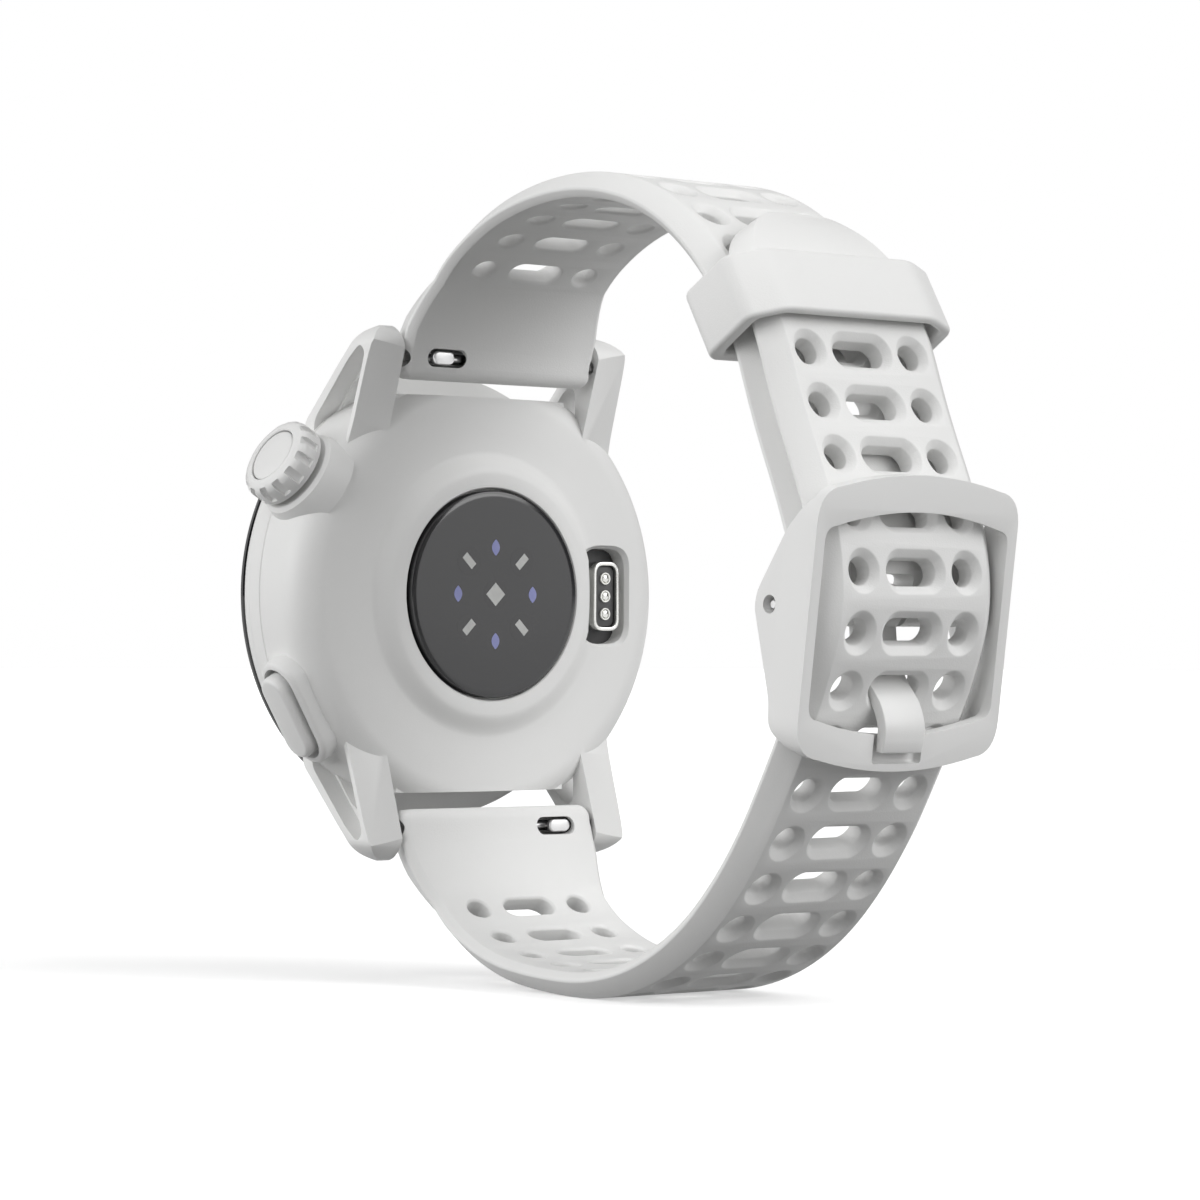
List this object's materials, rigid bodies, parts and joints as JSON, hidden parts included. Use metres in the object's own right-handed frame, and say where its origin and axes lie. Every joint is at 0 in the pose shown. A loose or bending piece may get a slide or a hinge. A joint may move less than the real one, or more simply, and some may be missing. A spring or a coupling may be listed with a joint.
{
  "type": "gps running watch",
  "caption": "Round sports watch, buckled: display, crown, back button, rear optical sensor, charging port, and a perforated silicone strap with keeper and tongue buckle.",
  "frame": {"origin": "middle of the footprint, at the level of the lowest point of the buckled strap (its 6 o'clock side)", "axes": "+Z from 6 o'clock to 12 o'clock, +Y from the display through the wrist to the buckle, +X towards the crown side"},
  "size_m": [0.0438, 0.068, 0.071],
  "materials": {
    "case_white": "satin white resin",
    "silicone_white": "matte silicone",
    "display_glass": "polished glass with a black print behind it",
    "sensor_lens": "polished dark lens",
    "steel": "fine machined steel",
    "dark_plastic": "moulded dark plastic",
    "seal_rubber": "soft black rubber",
    "board_green": "solder-masked board",
    "foil_silver": "foil",
    "gold_flex": "plated flexible circuit",
    "led_violet": "phosphor-coated emitter",
    "diode_grey": "coated photodiode"
  },
  "bodies": {
    "watch": {"case_body": "case_white", "front_bezel": "case_white", "cover_glass": "display_glass", "glass_seal": "seal_rubber", "sensor_window": "sensor_lens", "sensor_seal": "seal_rubber", "sensor_board": "board_green", "pulse_led_1": "led_violet", "photodiode_1": "diode_grey", "pulse_led_2": "led_violet", "photodiode_2": "diode_grey", "pulse_led_3": "led_violet", "photodiode_3": "diode_grey", "pulse_led_4": "led_violet", "photodiode_4": "diode_grey", "oxygen_led": "diode_grey", "display_module": "display_glass", "display_carrier": "dark_plastic", "main_board": "board_green", "radio_shield": "foil_silver", "battery_cell": "foil_silver", "vibration_motor": "steel", "pressure_sensor": "steel", "antenna_band": "gold_flex", "charge_port_shell": "steel", "charge_port_insert": "dark_plastic", "charge_contact_1": "steel", "charge_contact_2": "steel", "charge_contact_3": "steel", "crown_tube": "steel", "crown_seal": "seal_rubber", "crown_switch": "steel", "button_seal": "seal_rubber", "button_switch": "steel", "upper_strap": "silicone_white", "lower_strap": "silicone_white", "upper_bar_tube": "steel", "upper_bar_fixed_tip": "steel", "lower_bar_tube": "steel", "lower_bar_fixed_tip": "steel", "buckle_pin": "steel"},
    "crown_sleeve_body": {"crown_sleeve": "dark_plastic"},
    "crown": {"crown_knob": "case_white", "crown_cap": "case_white", "crown_shaft": "steel", "crown_encoder_wheel": "dark_plastic"},
    "back_button_body": {"back_button": "case_white", "button_plunger": "steel"},
    "upper_release": {"upper_release_lever": "steel"},
    "lower_release": {"lower_release_lever": "steel"},
    "keeper": {"keeper_loop": "silicone_white"},
    "buckle": {"buckle_frame": "case_white"},
    "tongue": {"buckle_tongue": "case_white"}
  },
  "joints": [
    {"name": "crown_push", "type": "slide", "parent": "watch", "child": "crown_sleeve_body", "axis": [-0.866, 0, -0.5], "range_m": [0, 0.0004], "stiffness_N_per_m": 2000},
    {"name": "crown_spin", "type": "hinge", "parent": "crown_sleeve_body", "child": "crown", "pos_m": [-0.00094, -0.02807, 0.03492], "axis": [0.866, 0, 0.5], "continuous": true},
    {"name": "back_button_press", "type": "slide", "parent": "watch", "child": "back_button_body", "axis": [-0.866, 0, 0.5], "range_m": [0, 0.0003], "stiffness_N_per_m": 2000},
    {"name": "upper_lever_slide", "type": "slide", "parent": "watch", "child": "upper_release", "axis": [-1, 0, 0], "range_m": [0, 0.0015], "stiffness_N_per_m": 400},
    {"name": "lower_lever_slide", "type": "slide", "parent": "watch", "child": "lower_release", "axis": [1, 0, 0], "range_m": [0, 0.0015], "stiffness_N_per_m": 400},
    {"name": "keeper_slide", "type": "hinge", "parent": "watch", "child": "keeper", "pos_m": [-0.00094, -0.00196, 0.04383], "axis": [1, 0, 0], "range_deg": [-4.5, 15]},
    {"name": "buckle_swing", "type": "hinge", "parent": "watch", "child": "buckle", "pos_m": [-0.00094, 0.02773, 0.03362], "axis": [1, 0, 0], "range_deg": [0, 1.5]},
    {"name": "tongue_swing", "type": "hinge", "parent": "buckle", "child": "tongue", "pos_m": [-0.00094, 0.02773, 0.03362], "axis": [1, 0, 0], "range_deg": [0, 2.5]}
  ]
}
